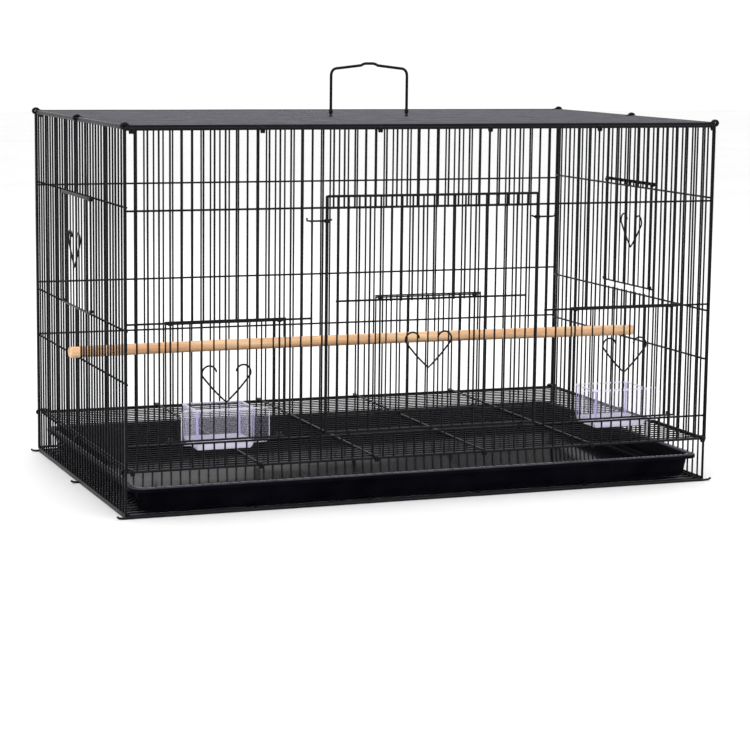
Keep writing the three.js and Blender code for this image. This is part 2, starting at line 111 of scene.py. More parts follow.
class Nodes:
    """Short calls for building one material's node tree."""

    def __init__(self, name):
        self.material = bpy.data.materials.new(name)
        self.material.use_nodes = True
        self.tree = self.material.node_tree
        self.shader = self.tree.nodes["Principled BSDF"]
        self.place = self.add("ShaderNodeTexCoord").outputs["Object"]

    def add(self, kind, **settings):
        node = self.tree.nodes.new(kind)
        for key, value in settings.items():
            setattr(node, key, value)
        return node

    def link(self, a, b):
        self.tree.links.new(a, b)

    def scaled(self, stretch):
        mapping = self.add("ShaderNodeMapping")
        mapping.inputs["Scale"].default_value = stretch
        self.link(self.place, mapping.inputs["Vector"])
        return mapping.outputs["Vector"]

    def noise(self, scale, detail, stretch=(1, 1, 1)):
        node = self.add("ShaderNodeTexNoise")
        node.inputs["Scale"].default_value = scale
        node.inputs["Detail"].default_value = detail
        self.link(self.scaled(stretch), node.inputs["Vector"])
        return node.outputs["Fac"]

    def ramp(self, value, low, high, dark, light):
        """A colour that goes from dark to light as the value goes from low to high."""
        node = self.add("ShaderNodeValToRGB")
        node.color_ramp.elements[0].position = low
        node.color_ramp.elements[1].position = high
        node.color_ramp.elements[0].color = (*dark, 1)
        node.color_ramp.elements[1].color = (*light, 1)
        self.link(value, node.inputs["Fac"])
        return node.outputs["Color"]

    def between(self, value, low, high, start=0.0, end=1.0, curve="LINEAR"):
        """A number that goes from low to high as the value goes from start to end."""
        node = self.add("ShaderNodeMapRange", interpolation_type=curve)
        node.inputs["From Min"].default_value = start
        node.inputs["From Max"].default_value = end
        node.inputs["To Min"].default_value = low
        node.inputs["To Max"].default_value = high
        self.link(value, node.inputs["Value"])
        return node.outputs["Result"]

    def up_component(self, vector):
        node = self.add("ShaderNodeSeparateXYZ")
        self.link(vector, node.inputs["Vector"])
        return node.outputs["Z"]

    def facing_up(self, start, most):
        """Rises from nothing to most as the surface turns from its start slope to face up."""
        normal = self.add("ShaderNodeTexCoord").outputs["Normal"]
        return self.between(self.up_component(normal), 0, most, start, 1, "SMOOTHSTEP")

    def height(self, low, high):
        """Rises from 0 to 1 between two heights above the floor."""
        return self.between(self.up_component(self.place), 0, 1, low, high, "SMOOTHSTEP")

    def times(self, a, b):
        node = self.add("ShaderNodeMath", operation="MULTIPLY")
        self.link(a, node.inputs[0])
        self.link(b, node.inputs[1])
        return node.outputs["Value"]

    def blend(self, factor, a, b):
        node = self.add("ShaderNodeMix", data_type="RGBA")
        self.link(factor, node.inputs["Factor"])
        self.link(a, node.inputs["A"])
        self.link(b, node.inputs["B"])
        return node.outputs["Result"]

    def bump(self, value, strength, distance):
        node = self.add("ShaderNodeBump")
        node.inputs["Strength"].default_value = strength
        node.inputs["Distance"].default_value = distance
        self.link(value, node.inputs["Height"])
        self.link(node.outputs["Normal"], self.shader.inputs["Normal"])

    def colour(self, socket):
        self.link(socket, self.shader.inputs["Base Color"])

    def roughness(self, socket):
        self.link(socket, self.shader.inputs["Roughness"])

    def set(self, **values):
        for key, value in values.items():
            self.shader.inputs[key.replace("_", " ")].default_value = value


def wire_material(name, top_highlight):
    """Black powder coat: faint mottling and an orange-peel skin, and a painted highlight, a lighter grey,
    on what faces up.
    """
    n = Nodes(name)
    n.set(Metallic=0.0, IOR=1.45, Specular_IOR_Level=0.14)
    coat = n.ramp(n.noise(260, 4), 0.3, 0.75, (0.0012, 0.0012, 0.0024), (0.0045, 0.0045, 0.007))
    # Painted highlight: a lighter grey that stands for the overhead light on surfaces facing up.
    painted_top_light = n.ramp(n.noise(35, 5), 0.3, 0.7, (0.09, 0.085, 0.105), (0.15, 0.145, 0.165))
    n.colour(n.blend(n.facing_up(0.05, top_highlight), coat, painted_top_light))
    n.roughness(n.between(n.noise(90, 2), 0.3, 0.46))
    n.bump(n.noise(1400, 2), 0.12, 0.0002)
    return n.material


def tray_material():
    """Moulded plastic, glossy all over, with fine scuffs and a painted highlight along the top of its
    lip.
    """
    n = Nodes("glossy_black_plastic")
    n.set(Metallic=0.0, IOR=1.45, Specular_IOR_Level=0.01)
    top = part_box("tray")[1].z
    own_colour = n.ramp(n.noise(22, 4), 0.35, 0.8, (0.0014, 0.0014, 0.003), (0.005, 0.005, 0.0078))
    # Painted highlight: a lighter grey where light catches the top of the lip, laid on by the mask below.
    painted_lip_highlight = n.ramp(n.noise(60, 4), 0.3, 0.7, (0.035, 0.033, 0.042), (0.075, 0.07, 0.085))
    lip = n.times(n.facing_up(0.2, 1), n.height(top - 2 * MM, top - 0.5 * MM))
    n.colour(n.blend(lip, own_colour, painted_lip_highlight))
    n.roughness(n.between(n.noise(60, 5, (1, 6, 1)), 0.04, 0.13))
    n.bump(n.noise(9, 1), 0.25, 0.0016)
    return n.material


def cup_material(name, clear, edge_on, dark, light):
    """Clear styrene: its opacity rises from clear, seen face-on, to edge_on, and so does its colour,
    lightened edge-on as a painted sheen.
    """
    n = Nodes(name)
    n.set(Metallic=0.0, IOR=1.49, Specular_IOR_Level=0.35)
    edge = n.add("ShaderNodeLayerWeight").outputs["Facing"]
    # Painted sheen: the colour lightens where the wall is seen edge-on.
    n.colour(n.ramp(edge, 0.25, 0.85, dark, light))
    n.roughness(n.between(n.noise(120, 3), 0.06, 0.16))
    clouding = n.between(n.noise(35, 2), 0.85, 1.15)
    opacity = n.times(clouding, n.between(edge, clear, edge_on, 0.55, 0.97))
    n.link(opacity, n.shader.inputs["Alpha"])
    n.bump(n.noise(30, 1), 0.2, 0.0008)
    return n.material


def wood_material():
    """Sanded ramin dowel: long pores and soft streaks along its length."""
    n = Nodes("pale_dowel_wood")
    n.set(Metallic=0.0, IOR=1.45)
    streaks = n.noise(120, 5, (0.06, 1, 1))
    pores = n.noise(700, 3, (0.035, 1, 1))
    mix = n.add("ShaderNodeMix", data_type="RGBA", blend_type="MULTIPLY")
    mix.inputs["Factor"].default_value = 0.28
    n.link(n.ramp(streaks, 0.3, 0.72, (0.76, 0.39, 0.19), (1.0, 0.70, 0.42)), mix.inputs["A"])
    n.link(n.ramp(pores, 0.36, 0.56, (0.5, 0.36, 0.26), (1, 1, 1)), mix.inputs["B"])
    n.colour(mix.outputs["Result"])
    n.roughness(n.between(streaks, 0.62, 0.48))
    n.bump(pores, 0.3, 0.0003)
    return n.material


def floor_material():
    n = Nodes("pale_floor")
    n.set(Metallic=0.0, Roughness=0.75)
    n.colour(n.ramp(n.noise(2, 2), 0.3, 0.7, (0.9, 0.9, 0.9), (0.93, 0.93, 0.93)))
    return n.material


# Two copies of the powder coat with a painted highlight on what faces up: faint on most wires, strong on
# the top panel's long wires.
BLACK_WIRE = wire_material("black_powder_coat", top_highlight=0.14)
PAINTED_TOP_LIGHT_WIRE = wire_material("powder_coat_painted_top_light", top_highlight=0.85)  # the long wires of the top panel
BLACK_PLASTIC = tray_material()
# The clear walls; a near-white, more opaque copy painted as a glow of light through the foot, rim and
# edges; a lavender, more opaque copy painted as highlights down the corners.
CLEAR_PLASTIC = cup_material(
    "clear_styrene", clear=0.04, edge_on=0.5, dark=(0.66, 0.64, 0.78), light=(0.86, 0.83, 1.0))
PAINTED_GLOW_PLASTIC = cup_material(
    "clear_styrene_painted_glow", clear=0.5, edge_on=0.8, dark=(0.84, 0.82, 1.0), light=(0.95, 0.94, 1.0))
PAINTED_HIGHLIGHT_PLASTIC = cup_material(
    "clear_styrene_painted_highlights", clear=0.72, edge_on=0.85, dark=(0.56, 0.52, 0.95), light=(0.75, 0.72, 1.0))
WALL_SLOT, EDGE_SLOT, CORNER_SLOT = range(3)  # a cup's material slots
WOOD = wood_material()


# ---------------------------------------------------------------- mesh helpers


def circle(centre, radius, u, v, sides):
    """Points round a circle in the plane of the directions u and v."""
    turns = [2 * math.pi * k / sides for k in range(sides)]
    return [centre + radius * (math.cos(t) * u + math.sin(t) * v) for t in turns]


def arc(centre, radius, start, end, u, v, steps):
    """Points from angle start to end, in degrees, in the plane of the directions u and v."""
    u, v = Vector(u), Vector(v)
    turns = [math.radians(start + (end - start) * i / steps) for i in range(steps + 1)]
    return [Vector(centre) + radius * (math.cos(t) * u + math.sin(t) * v) for t in turns]


def bend(before, corner, after, steps):
    """Points of a smooth bend from before to after, drawn towards the corner."""
    shares = [i / steps for i in range(steps + 1)]
    return [before.lerp(corner, t).lerp(corner.lerp(after, t), t) for t in shares]


def join_loops(bm, a, b):
    """Faces between two loops with the same number of vertices."""
    count = len(a)
    for k in range(count):
        bm.faces.new((a[k], a[(k + 1) % count], b[(k + 1) % count], b[k]))


def skin(bm, outlines):
    """A closed skin through outlines with the same number of points."""
    loops = [[bm.verts.new(p) for p in outline] for outline in outlines]
    for a, b in zip(loops, loops[1:]):
        join_loops(bm, a, b)
    bm.faces.new(list(reversed(loops[0])))
    bm.faces.new(loops[-1])


def transported_frames(points):
    """A tangent and a normal at each point of a path, the normal carried along without twist."""
    tangents = []
    for i in range(len(points)):
        before = points[max(i - 1, 0)]
        after = points[min(i + 1, len(points) - 1)]
        tangents.append((after - before).normalized())
    normals = [tangents[0].orthogonal().normalized()]
    for a, b in zip(tangents, tangents[1:]):
        normals.append((a.rotation_difference(b) @ normals[-1]).normalized())
    return list(zip(tangents, normals))


def tube(bm, points, radius, sides=SIDES):
    """A round wire along a path, with softly rounded cut ends."""
    points = [Vector(p) for p in points]
    frames = transported_frames(points)
    first, last = frames[0][0], frames[-1][0]
    ends = [(0.55, 0.0), (0.87, 0.25), (1.0, 0.7)]  # size and distance from the end, in wire radii
    rings = [(points[0] + first * radius * along, frames[0], radius * size) for size, along in ends]
    rings += [(p, f, radius) for p, f in zip(points[1:-1], frames[1:-1])]
    for size, along in reversed(ends):
        rings.append((points[-1] - last * radius * along, frames[-1], radius * size))
    skin(bm, [
        circle(centre, r, normal, tangent.cross(normal), sides)
        for centre, (tangent, normal), r in rings
    ])


def ring(bm, centre, axis, radius, wire, steps=16, sides=8):
    """A closed wire ring round an axis."""
    axis = Vector(axis).normalized()
    u = axis.orthogonal().normalized()
    v = axis.cross(u)
    loops = []
    for out in circle(Vector(), 1, u, v, steps):
        section = circle(Vector(centre) + radius * out, wire, out, axis, sides)
        loops.append([bm.verts.new(p) for p in section])
    for a, b in zip(loops, loops[1:] + loops[:1]):
        join_loops(bm, a, b)


def rounded(corners, radius):
    """A path through corners, each turned through a bend of about the given radius."""
    corners = [Vector(c) for c in corners]
    path = [corners[0]]
    for before, corner, after in zip(corners, corners[1:], corners[2:]):
        a = corner + (before - corner).normalized() * radius
        b = corner + (after - corner).normalized() * radius
        path += bend(a, corner, b, 6)
    path.append(corners[-1])
    return path


def straight(bm, a, b, radius, pieces=4):
    """A drawn wire from a to b that wanders a hair's breadth on its way."""
    a, b = Vector(a), Vector(b)
    side = (b - a).orthogonal().normalized()
    other = (b - a).normalized().cross(side)
    points = [a]
    for i in range(1, pieces):
        stray = random.uniform(-WANDER, WANDER) * side + random.uniform(-WANDER, WANDER) * other
        points.append(a.lerp(b, i / pieces) + stray)
    points.append(b)
    tube(bm, points, radius)


def piece(bm, name, body, material, nodes=()):
    """Turns a bmesh into a smooth-shaded object that rides on a body and stands for CAD nodes."""
    bmesh.ops.recalc_face_normals(bm, faces=bm.faces)
    mesh = bpy.data.meshes.new(name)
    bm.to_mesh(mesh)
    bm.free()
    mesh.shade_smooth()
    obj = bpy.data.objects.new(name, mesh)
    bpy.context.scene.collection.objects.link(obj)
    obj.data.materials.append(material)
    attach(obj, body)
    if nodes:
        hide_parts(*nodes)
    return obj


def wire_piece(bm, name, body, nodes=(), material=BLACK_WIRE):
    return piece(bm, name, body, material, nodes)


def mark_sharp(obj, degrees):
    """Flat shading across edges that turn by more than the given angle."""
    bm = bmesh.new()
    bm.from_mesh(obj.data)
    for edge in bm.edges:
        if len(edge.link_faces) == 2 and edge.calc_face_angle(0) > math.radians(degrees):
            edge.smooth = False
    bm.to_mesh(obj.data)
    bm.free()


def middle(node):
    low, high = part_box(node)
    return (low + high) / 2


def kept_inside(point, margin):
    """The point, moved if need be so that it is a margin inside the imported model's box."""
    low, high = cad_bounds
    return Vector(min(max(p, a + margin), b - margin) for p, a, b in zip(point, low, high))


def spaced(first, last, count):
    return [first + (last - first) * i / count for i in range(count + 1)]


def inner_span(low, high, count):
    """Evenly spaced wire centres, the outer ones half a CAD wire inside the limits."""
    return spaced(low + MM, high - MM, count)


# ---------------------------------------------------------------- levels and planes from the frame

FRONT_LOW, FRONT_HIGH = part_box("front_panel")
FRONT_Y = middle("front_panel").y
BACK_Y = middle("back_panel").y
DOOR_Y = middle("front_door").y
SIDE_X = middle("right_panel").x
SILL = middle("front_rail_left_low").z
MID = middle("front_rail_left_mid").z
UPPER = middle("front_rail_upper").z
SIDE_MID = middle("left_rail_mid").z
SIDE_UPPER = middle("left_rail_upper").z
FRONT_XS = inner_span(FRONT_LOW.x, FRONT_HIGH.x, FRONT_PITCHES)
SIDE_YS = inner_span(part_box("left_panel")[0].y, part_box("left_panel")[1].y, SIDE_PITCHES)
DOOR_XS = inner_span(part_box("front_door")[0].x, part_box("front_door")[1].x, DOOR_PITCHES)


# ---------------------------------------------------------------- cage panels


def cut_spans(index, low, high, openings):
    """The stretches of a bar that are left beside the openings it would cross."""
    for first, last, sill, lintel in openings:
        if first < index < last:
            return [(low, sill + BAR_END), (lintel - BAR_END, high)]
    return [(low, high)]


def upright_grid(bm, places, point, low, high, openings=(), lift=0, post=EDGE, crown=EDGE):
    """Bars at places, closed by a wire below and above; point(place, z) gives a bar's point."""
    for i, place in enumerate(places):
        edge = i in (0, len(places) - 1)
        for z0, z1 in cut_spans(i, low, high, openings):
            straight(bm, point(place, z0), point(place, z1), post if edge else BAR)
    for z, radius in ((low + EDGE, EDGE), (high - MM + lift, crown)):
        straight(bm, point(places[0], z), point(places[-1], z), radius, 8)


def front_panel():
    bm = bmesh.new()
    feeders = [(first, last, SILL, MID) for first, last in FEEDERS.values()]
    openings = [*feeders, (*DOOR_BARS, SILL, UPPER)]
    low, high = FRONT_LOW.z, FRONT_HIGH.z
    upright_grid(bm, FRONT_XS, lambda x, z: (x, FRONT_Y, z), low, high, openings, TOP_LIFT, POST, CROWN)
    left, right = (FRONT_XS[i] for i in DOOR_BARS)
    straight(bm, (left, FRONT_Y, SILL), (right, FRONT_Y, SILL), RAIL)
    door_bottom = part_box("front_door")[0].z + MM
    for i in HINGE_GAPS:
        x = (FRONT_XS[i] + FRONT_XS[i + 1]) / 2
        hinge_eye(bm, Vector((x, FRONT_Y, SILL)), Vector((x, DOOR_Y, door_bottom)))
    wire_piece(bm, "front_panel_wires", "cage", ["front_panel"])


def hinge_eye(bm, fixed, turning):
    """A long eye round the sill wire of the opening and the bottom wire of the front door."""
    along = (turning - fixed).normalized()
    across = Vector((1, 0, 0)).cross(along)
    play = 0.1 * MM
    radius = EDGE + RING_WIRE + play
    path = arc(turning, radius, -90, 90, along, across, 8) + arc(fixed, radius, 90, 270, along, across, 8)
    path.append(path[0])
    tube(bm, path, RING_WIRE, 8)


def back_panel():
    bm = bmesh.new()
    low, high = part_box("back_panel")
    upright_grid(bm, FRONT_XS, lambda x, z: (x, BACK_Y, z), low.z, high.z, (), TOP_LIFT, POST, CROWN)
    wire_piece(bm, "back_panel_wires", "cage", ["back_panel"])


def side_panel(side):
    bm = bmesh.new()
    node = side + "_panel"
    low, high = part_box(node)
    x = middle(node).x
    openings = [(*NEST_BARS, SIDE_MID, SIDE_UPPER)]
    upright_grid(bm, SIDE_YS, lambda y, z: (x, y, z), low.z, high.z, openings)
    wire_piece(bm, node + "_wires", "cage", [node])


def round_rod(node, body, radius):
    """A round wire along the middle of a straight CAD wire."""
    low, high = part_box(node)
    size = high - low
    axis = max(range(3), key=lambda k: size[k])
    a = kept_inside((low + high) / 2, radius + WANDER)
    b = a.copy()
    a[axis], b[axis] = low[axis], high[axis]
    bm = bmesh.new()
    straight(bm, a, b, radius, 8)
    wire_piece(bm, node + "_round", body, [node])


def level_wire(bm, a, b, z, radius):
    """A wire between two places at height z, or just clear of the floor where it would touch it."""
    z = max(z, radius + FLOOR_GAP)
    straight(bm, (*a, z), (*b, z), radius, 8)


def tipped_grid(node, tip_path, tip_wire, material=BLACK_WIRE):
    """Long wires over or under the side panels, some of which run on into shaped tips."""
    low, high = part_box(node)
    rows = inner_span(low.y, high.y, SIDE_PITCHES)
    tips = {i: tip_path(rows[i], middle(node).z) for i in TIP_ROWS}
    long_grid(node, rows, SIDE_X, BAR, tips, tip_wire, material)


def grate():
    """Long wires between the side panels, hooked over them at the front, middle and back."""
    low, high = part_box("grate")
    rows = inner_span(low.y, high.y, SIDE_PITCHES - 1)
    hooked = (0, len(rows) // 2, len(rows) - 1)
    tips = {i: grate_hook(rows[i], middle("grate").z) for i in hooked}
    long_grid("grate", rows, high.x - MM, FLOOR_BAR, tips, COIL_WIRE, BLACK_WIRE)


def long_grid(node, rows, reach, bar, tips, tip_wire, material):
    """Wires along x in a frame of thicker ones; tips gives the path of a row's right-hand tip."""
    bars, edges = bmesh.new(), bmesh.new()
    z = middle(node).z
    for i, y in enumerate(rows):
        outer = i in (0, len(rows) - 1)
        level_wire(edges if outer else bars, (-reach, y), (reach, y), z, EDGE if outer else bar)
    for sign in (-1, 1):
        level_wire(edges, (sign * reach, rows[0]), (sign * reach, rows[-1]), z, EDGE)
        for path in tips.values():
            tube(edges, [Vector((sign * p.x, p.y, p.z)) for p in path], tip_wire)
    wire_piece(bars, node + "_wires", "cage", [node], material)
    wire_piece(edges, node + "_edge_wires", "cage")


def grate_hook(y, z):
    """Runs out between the side panel's bars and curls down round them."""
    edge = SIDE_X + 1.6 * MM
    path = [Vector((edge - 12 * MM, y, z + 2.4 * MM)), Vector((edge - 2 * MM, y, z + 2.6 * MM))]
    return path + arc((edge, y, z), 2.6 * MM, 75, -60, (1, 0, 0), (0, 0, 1), 9)


def curled_tip(y, z):
    """Runs over the side panel's top wire and is wound into a tight coil round the edge."""
    turns, steps, pitch = 1.8, 32, 2.3 * MM
    half_depth, half_height, half_width = 3.8 * MM, 3.1 * MM, pitch * turns / 2
    centre = kept_inside(Vector((SIDE_X, y, z + 0.3 * MM)), half_width + CURL_WIRE)
    path = [Vector((SIDE_X - 9 * MM, y, z)), Vector((SIDE_X - 5 * MM, y, z + 0.5 * MM))]
    for i in range(steps + 1):
        turn = math.radians(110) - 2 * math.pi * turns * i / steps
        out = Vector((half_depth * math.cos(turn), 0, half_height * math.sin(turn)))
        path.append(centre + out + Vector((0, half_width * (2 * i / steps - 1), 0)))
    return path


def straight_tip(y, z):
    """Runs out under the side panel and turns up a little at its end."""
    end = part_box("base_panel")[1].x
    z += COIL_WIRE - MM
    return [
        Vector((SIDE_X - 10 * MM, y, z)),
        Vector((SIDE_X + 3 * MM, y, z)),
        Vector((end - 3.4 * MM, y, z + 0.5 * MM)),
        Vector((end - 1.6 * MM, y, z + 1.6 * MM)),
        Vector((end - 1.4 * MM, y, z + 3 * MM)),
    ]


def winding(x, y, z, side, half_depth, half_height):
    """Turns round a wire along x, from above it, over the side given by side's sign, and on along x."""
    turns, steps, pitch = 1.75, 34, 2.7 * MM
    path = []
    for i in range(steps + 1):
        turn = 2 * math.pi * turns * i / steps
        out = side * half_depth * math.sin(turn)
        path.append(Vector((x + pitch * turns * (i / steps), y + out, z + half_height * math.cos(turn))))
    return path


def cross_wire(node, held_z):
    """A wire from front to back, each end wound round the panel wire that it passes over."""
    x = middle(node).x
    *front_size, front_wire = FRONT_WINDING
    *back_size, back_wire = BACK_WINDING
    front = winding(x, FRONT_Y, held_z, -1, *front_size)
    back = winding(x, BACK_Y, held_z, 1, *back_size)
    lead = Vector((0, 6 * MM, 0))
    sag = Vector((0, 0, -0.3 * MM))
    bm = bmesh.new()
    tube(bm, front, front_wire)
    tube(bm, [front[0], front[0] + lead + sag, back[0] - lead + sag, back[0]], RAIL)
    tube(bm, back, back_wire)
    wire_piece(bm, node + "_hooked", "cage", [node])


def cage_panels():
    front_panel()
    back_panel()
    side_panel("left")
    side_panel("right")
    tipped_grid("top_panel", curled_tip, CURL_WIRE, PAINTED_TOP_LIGHT_WIRE)
    grate()
    tipped_grid("base_panel", straight_tip, COIL_WIRE)
    for i in range(1, CROSS_WIRES + 1):
        cross_wire(f"top_cross_wire_{i}", FRONT_HIGH.z - MM)
        cross_wire(f"grate_cross_wire_{i}", FRONT_LOW.z + MM)
        round_rod(f"base_cross_wire_{i}", "cage", RAIL)
    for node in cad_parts:
        if "_rail_" in node and not node.startswith("front_door"):
            round_rod(node, "cage", RAIL)


# ---------------------------------------------------------------- doors


def heart_path(width, height):
    """A heart in x and z from hook to hook: its sides bow a little, and each hook turns in."""
    hook = width * 9.5 / 60
    tightening, bow, steps = 0.12, 1.1 * MM, 16
    centre = Vector((width / 2 - hook, height - hook))
    start = math.atan2(centre.y, centre.x) - math.acos(hook / centre.length)
    curl = []
    for i in range(steps + 1):
        turn = start + (math.radians(172) - start) * i / steps
        reach = hook * (1 - tightening * i / steps)
        curl.append(centre + reach * Vector((math.cos(turn), math.sin(turn))))
    outward = Vector((curl[0].y, -curl[0].x)).normalized()
    side = [curl[0] * t + outward * bow * math.sin(math.pi * t) for t in (0.2, 0.4, 0.6, 0.8)]
    right = [Vector((0, 0)), *side, *curl]
    left = [Vector((-p.x, p.y)) for p in reversed(right[1:])]
    return left + right


def heart(node, body, u):
    """A heart pull, flat against its door, along the direction u and z."""
    low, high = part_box(node)
    centre = (low + high) / 2
    u = Vector(u)
    width = (high - low).dot(Vector(map(abs, u))) - 2 * MM
    height = high.z - low.z - 2 * MM
    base = kept_inside(Vector((centre.x, centre.y, low.z + MM)), HEART_WIRE)
    points = [base + u * p.x + Vector((0, 0, p.y)) for p in heart_path(width, height)]
    bm = bmesh.new()
    tube(bm, points, HEART_WIRE, 10)
    wire_piece(bm, node + "_wire", body, [node])


def small_door(node, body, u, guides, guide_centre, rod=DOOR_ROD):
    """A sliding door: bars, a bottom wire, two top rods, and pairs of rings round its two guide bars."""
    low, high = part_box(node)
    centre = (low + high) / 2
    u = Vector(u)
    half = (high - low).dot(Vector(map(abs, u))) / 2 - MM
    bottom = low.z + MM
    rod_levels = (high.z - 1.2 * MM, high.z - 3.1 * MM)
    ring_levels = (low.z + 2.6 * MM, high.z - 4.6 * MM)
    ring_gap = Vector((0, 0, 1.7 * MM))

    def at(along, z):
        return Vector((centre.x, centre.y, z)) + u * along

    bm = bmesh.new()
    for along in spaced(-half, half, SMALL_DOOR_PITCHES):
        straight(bm, at(along, bottom), at(along, high.z - 2 * MM), DOOR_BAR)
    straight(bm, at(-half - MM, bottom), at(half + MM, bottom), DOOR_ROD, 6)
    for z in rod_levels:
        straight(bm, at(-half - MM, z), at(half + MM, z), rod, 6)
    for along in guides:
        for z in ring_levels:
            place = guide_centre(at(along, z))
            ring(bm, place, (0, 0, 1), LAYER, RING_WIRE)
            ring(bm, place + ring_gap, (0, 0, 1), LAYER, RING_WIRE)
    wire_piece(bm, node + "_wires", body, [node])


def feeder_door(side):
    node = side + "_feeder_door"
    centre_x = middle(node).x
    guides = [FRONT_XS[i] - centre_x for i in FEEDERS[side]]
    small_door(node, side + "_feeder", (1, 0, 0), guides, lambda p: Vector((p.x, FRONT_Y, p.z)))
    heart(side + "_feeder_heart", side + "_feeder", (1, 0, 0))


def nest_door(side):
    node = side + "_nest_door"
    centre_y = middle(node).y
    wall_x = middle(side + "_panel").x
    guides = [SIDE_YS[i] - centre_y for i in NEST_BARS]
    small_door(node, side + "_nest", (0, 1, 0), guides, lambda p: Vector((wall_x, p.y, p.z)))
    heart(side + "_nest_heart", side + "_nest", (0, 1, 0))


def front_door():
    """The large door, with the small door in it and its two latches."""
    low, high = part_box("front_door")
    sill, lintel = middle("front_door_rail_low").z, middle("front_door_rail_middle").z
    openings = [(*CENTRE_COLUMNS, sill, lintel)]
    bm = bmesh.new()
    upright_grid(bm, DOOR_XS, lambda x, z: (x, DOOR_Y, z), low.z, high.z, openings, post=POST)
    wire_piece(bm, "front_door_wires", "front_door", ["front_door"])
    for level in ("upper", "middle", "low"):
        round_rod(f"front_door_rail_{level}", "front_door", RAIL)
    centre_door()
    latch("left", DOOR_XS[0], -1)
    latch("right", DOOR_XS[-1], 1)


def centre_door():
    """The small door that slides on two of the front door's own bars."""
    centre_x = middle("centre_door").x
    guides = [DOOR_XS[i] - centre_x for i in CENTRE_COLUMNS]
    small_door(
        "centre_door", "centre_door", (1, 0, 0), guides, lambda p: Vector((p.x, DOOR_Y, p.z)), THIN_ROD)
    heart("centre_heart", "centre_door", (1, 0, 0))


def latch(side, stile_x, sign):
    """A wire latch: an arm out over the front panel's bars, a coil round the stile and a short tail."""
    node = "front_latch_" + side
    low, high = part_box(node)
    y, z = middle(node).y, middle(node).z
    outer_x, inner_x = (low.x, high.x) if sign < 0 else (high.x, low.x)
    path = [
        (inner_x + sign * 0.8 * MM, z + 1.5 * MM),  # the tail, inside the door
        (stile_x - sign * 3 * MM, z),
        (stile_x + sign * 4 * MM, z),
        (outer_x - sign * 5 * MM, z),
        (outer_x - sign * 1.3 * MM, z + 0.6 * MM),  # the arm's end, turned up
        (outer_x - sign * 1.1 * MM, z + 4 * MM),
    ]
    bm = bmesh.new()
    tube(bm, [Vector((px, y, pz)) for px, pz in path], LATCH_WIRE)
    for up in (-1.2 * MM, 1.2 * MM):
        coil_centre = (stile_x, DOOR_Y, z + up)
        ring(bm, coil_centre, (0, 0, 1), EDGE + 0.8 * MM, RING_WIRE + 0.3 * MM, 20)
    wire_piece(bm, node + "_wire", "front_door", [node])


# ---------------------------------------------------------------- handle, tray, cups, perch


def handle():
    """A bail of thick wire with rounded shoulders and a low hump, standing on eyes and short sleeves."""
    low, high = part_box("handle")
    centre_x, y = (low.x + high.x) / 2, (low.y + high.y) / 2
    half = (high.x - low.x) / 2 - HANDLE_WIRE
    hump_foot, hump_half, hump_rise = 16 * MM, 8 * MM, 6 * MM
    shoulder_bend, hump_bend = 10 * MM, 4 * MM
    pivot = middle("top_panel").z
    foot = pivot + 3.4 * MM
    crest = high.z - HANDLE_WIRE
    top = crest - hump_rise
    corners = [
        (-half, foot), (-half, top), (-hump_foot, top), (-hump_half, crest),
        (hump_half, crest), (hump_foot, top), (half, top), (half, foot),
    ]
    path = [Vector((centre_x + x, y, z)) for x, z in corners]
    bail = rounded(path[:3], shoulder_bend)[:-1]
    bail += rounded(path[2:6], hump_bend)[1:-1]
    bail += rounded(path[5:], shoulder_bend)[1:]
    bm = bmesh.new()
    tube(bm, bail, HANDLE_WIRE, 16)
    eye_radius, eye_wire, sleeve_radius = 2.9 * MM, 1.5 * MM, 2.6 * MM
    for x in (centre_x - half, centre_x + half):
        ring(bm, (x, y, pivot), (1, 0, 0), eye_radius, eye_wire, 24, 12)
        tube(bm, [(x, y, pivot + 4 * MM), (x, y, pivot + 11 * MM)], sleeve_radius, 16)
    wire_piece(bm, "handle_wire", "handle", ["handle"])


def rounded_outline(low, high, inset, corner, z):
    """The points of a rounded rectangle, inset from the box low..high, at height z."""
    r = max(corner - inset * 0.5, 4 * MM)
    x0, x1 = low.x + inset + r, high.x - inset - r
    y0, y1 = low.y + inset + r, high.y - inset - r
    points = []
    for cx, cy, start in ((x1, y1, 0), (x0, y1, 90), (x0, y0, 180), (x1, y0, 270)):
        points += arc((cx, cy, z), r, start, start + 90, (1, 0, 0), (0, 1, 0), 8)
    return points


def tray():
    """A moulded tray: sloped walls with round bottoms and a flat lip with a turned-down edge."""
    low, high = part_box("tray")
    depth = high.z - low.z
    sheet, lip, taper, corner = 2.2 * MM, 8 * MM, 5 * MM, 16 * MM
    foot = lip + taper
    # Inset from the box and height above its floor, from the middle of the underside, out round the
    # lip and in again to the middle of the floor.
    profile = [
        (foot + 6 * MM, 0), (foot + 2 * MM, 0.5 * MM), (foot, 2.2 * MM), (foot - 0.7 * MM, 5 * MM),
        (lip + 1 * MM, depth - 5 * MM), (lip, depth - sheet),
        (1.6 * MM, depth - sheet), (1.4 * MM, depth - 4.6 * MM),
        (0.2 * MM, depth - 4.8 * MM), (0, depth - 4 * MM),
        (0, depth - 1 * MM), (0.9 * MM, depth),
        (lip + sheet - 1.6 * MM, depth), (lip + sheet, depth - 1.2 * MM),
        (foot + sheet - 1 * MM, sheet + 5 * MM), (foot + sheet, sheet + 2.2 * MM),
        (foot + sheet + 2 * MM, sheet + 0.5 * MM), (foot + sheet + 6 * MM, sheet),
    ]
    bm = bmesh.new()
    skin(bm, [rounded_outline(low, high, inset, corner, low.z + up) for inset, up in profile])
    obj = piece(bm, "moulded_tray", "tray", BLACK_PLASTIC, ["tray"])
    mark_sharp(obj, 50)


